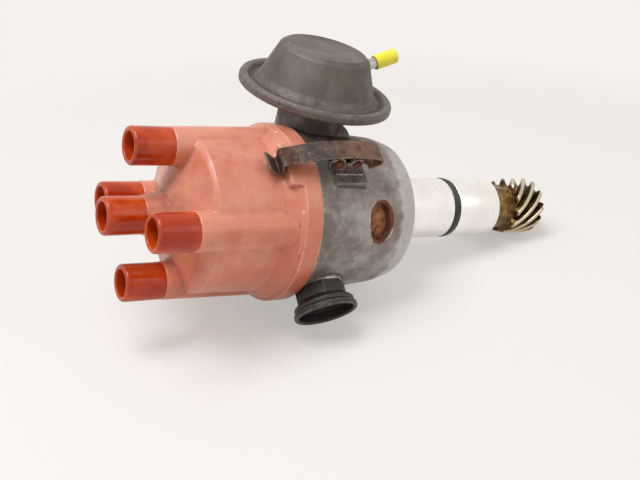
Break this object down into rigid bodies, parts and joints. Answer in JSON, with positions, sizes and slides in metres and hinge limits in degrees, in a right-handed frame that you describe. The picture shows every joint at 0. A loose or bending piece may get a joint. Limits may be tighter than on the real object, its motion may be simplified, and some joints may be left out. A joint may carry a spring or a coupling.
{
  "type": "ignition distributor",
  "caption": "Ignition distributor with resin cap and lead towers, cast housing, vacuum advance unit, spring clips, sensor socket and helical drive gear.",
  "frame": {"origin": "on the drive shaft's axis, in the plane of the housing's flat seat that meets the engine", "axes": "+X along the drive shaft towards the drive gear, the cap's towers point to -X; +Z along the vacuum unit's axis, away from the shaft"},
  "size_m": [0.2168, 0.0997, 0.1069],
  "materials": {
    "cast_aluminium": "sand cast, mottled",
    "phenolic_resin": "moulded, faded",
    "black_resin": "moulded",
    "brown_resin": "moulded",
    "clear_cover": "pressed",
    "yellow_rubber": "moulded",
    "black_rubber": "moulded",
    "bronze": "sintered",
    "brass": "turned",
    "fibre": "stamped",
    "felt": "felt",
    "carbon": "pressed carbon",
    "magnet": "moulded",
    "oiled_steel": "oiled, hobbed",
    "ground_steel": "ground",
    "pressed_steel": "stamped, rusty",
    "painted_steel": "dark coating, worn",
    "plated_steel": "zinc plated",
    "spring_steel": "rusty",
    "rusty_steel": "rusty",
    "spring_wire": "drawn"
  },
  "bodies": {
    "housing_assembly": {"housing": "cast_aluminium", "o_ring": "black_rubber", "upper_bush": "bronze", "lower_bush": "bronze", "upper_washer": "fibre", "lower_washer": "fibre", "base_plate": "pressed_steel", "dust_shield": "clear_cover", "distributor_cap": "phenolic_resin", "cap_electrodes": "brass", "centre_electrode": "brass", "brush_spring": "spring_wire", "can_plate": "painted_steel", "can_screws": "plated_steel", "can_dome": "painted_steel", "vacuum_nipple": "plated_steel", "diaphragm": "black_rubber", "vacuum_spring": "spring_wire", "clip_bracket_near": "rusty_steel", "clip_bracket_far": "rusty_steel", "clip_pins_near": "rusty_steel", "clip_pins_far": "rusty_steel", "bracket_rivets_near": "rusty_steel", "bracket_rivets_far": "rusty_steel", "connector_socket": "black_resin", "socket_terminals": "brass", "pickup_ring": "spring_wire"},
    "shaft_assembly": {"drive_shaft": "ground_steel", "drive_gear": "oiled_steel", "gear_pin": "ground_steel", "advance_carrier": "pressed_steel", "weight_pins": "ground_steel", "spring_posts": "ground_steel", "advance_spring_a": "spring_wire", "advance_spring_b": "spring_wire"},
    "upper_assembly": {"cam_sleeve": "pressed_steel", "yoke_posts": "ground_steel", "felt_wick": "felt", "trigger_wheel": "pressed_steel", "wheel_circlip": "spring_wire", "rotor_arm": "brown_resin", "rotor_blade": "brass"},
    "weight_a_body": {"weight_a": "pressed_steel"},
    "weight_b_body": {"weight_b": "pressed_steel"},
    "pickup_assembly": {"pickup_plate": "pressed_steel", "vacuum_pin": "ground_steel", "hall_magnet": "magnet", "hall_sensor": "black_resin"},
    "rod_assembly": {"pull_rod": "pressed_steel", "diaphragm_cup": "pressed_steel"},
    "brush_body": {"carbon_brush": "carbon"},
    "clip_near_body": {"clip_near": "spring_steel"},
    "clip_far_body": {"clip_far": "spring_steel"},
    "cover_body": {"nipple_cover": "yellow_rubber"}
  },
  "joints": [
    {"name": "shaft_spin", "type": "hinge", "parent": "housing_assembly", "child": "shaft_assembly", "pos_m": [0, 0, 0], "axis": [1, 0, 0], "continuous": true},
    {"name": "centrifugal_advance", "type": "hinge", "parent": "shaft_assembly", "child": "upper_assembly", "pos_m": [0, 0, 0], "axis": [-1, 0, 0], "range_deg": [0, 12], "deforming": ["advance_spring_a", "advance_spring_b"]},
    {"name": "weight_a_swing", "type": "hinge", "parent": "shaft_assembly", "child": "weight_a_body", "pos_m": [0, 0, 0.019], "axis": [1, 0, 0], "range_deg": [0, 14]},
    {"name": "weight_b_swing", "type": "hinge", "parent": "shaft_assembly", "child": "weight_b_body", "pos_m": [0, 0, -0.019], "axis": [1, 0, 0], "range_deg": [0, 14]},
    {"name": "vacuum_pull", "type": "slide", "parent": "housing_assembly", "child": "rod_assembly", "axis": [0, 0, 1], "range_m": [0, 0.0039], "deforming": ["vacuum_spring", "diaphragm"]},
    {"name": "pickup_turn", "type": "hinge", "parent": "housing_assembly", "child": "pickup_assembly", "pos_m": [0, 0, 0], "axis": [1, 0, 0], "range_deg": [0, 10.5]},
    {"name": "brush_press", "type": "slide", "parent": "housing_assembly", "child": "brush_body", "axis": [-1, 0, 0], "range_m": [0, 0.0015], "deforming": ["brush_spring"]},
    {"name": "clip_near_swing", "type": "hinge", "parent": "housing_assembly", "child": "clip_near_body", "pos_m": [-0.0345, -0.01961, 0.03417], "axis": [0, 0.8673, 0.4977], "range_deg": [0, 18]},
    {"name": "clip_far_swing", "type": "hinge", "parent": "housing_assembly", "child": "clip_far_body", "pos_m": [-0.0345, 0.01961, -0.03417], "axis": [0, -0.8673, -0.4977], "range_deg": [0, 18]},
    {"name": "cover_pull", "type": "slide", "parent": "housing_assembly", "child": "cover_body", "axis": [0.9272, 0, 0.3746], "range_m": [0, 0.012]}
  ],
  "couplings": [
    {"joint": "weight_a_swing", "follows": "centrifugal_advance", "ratio": 1.1111},
    {"joint": "weight_b_swing", "follows": "centrifugal_advance", "ratio": 1.1111},
    {"joint": "pickup_turn", "follows": "vacuum_pull", "rad_per_m": 44.5}
  ]
}
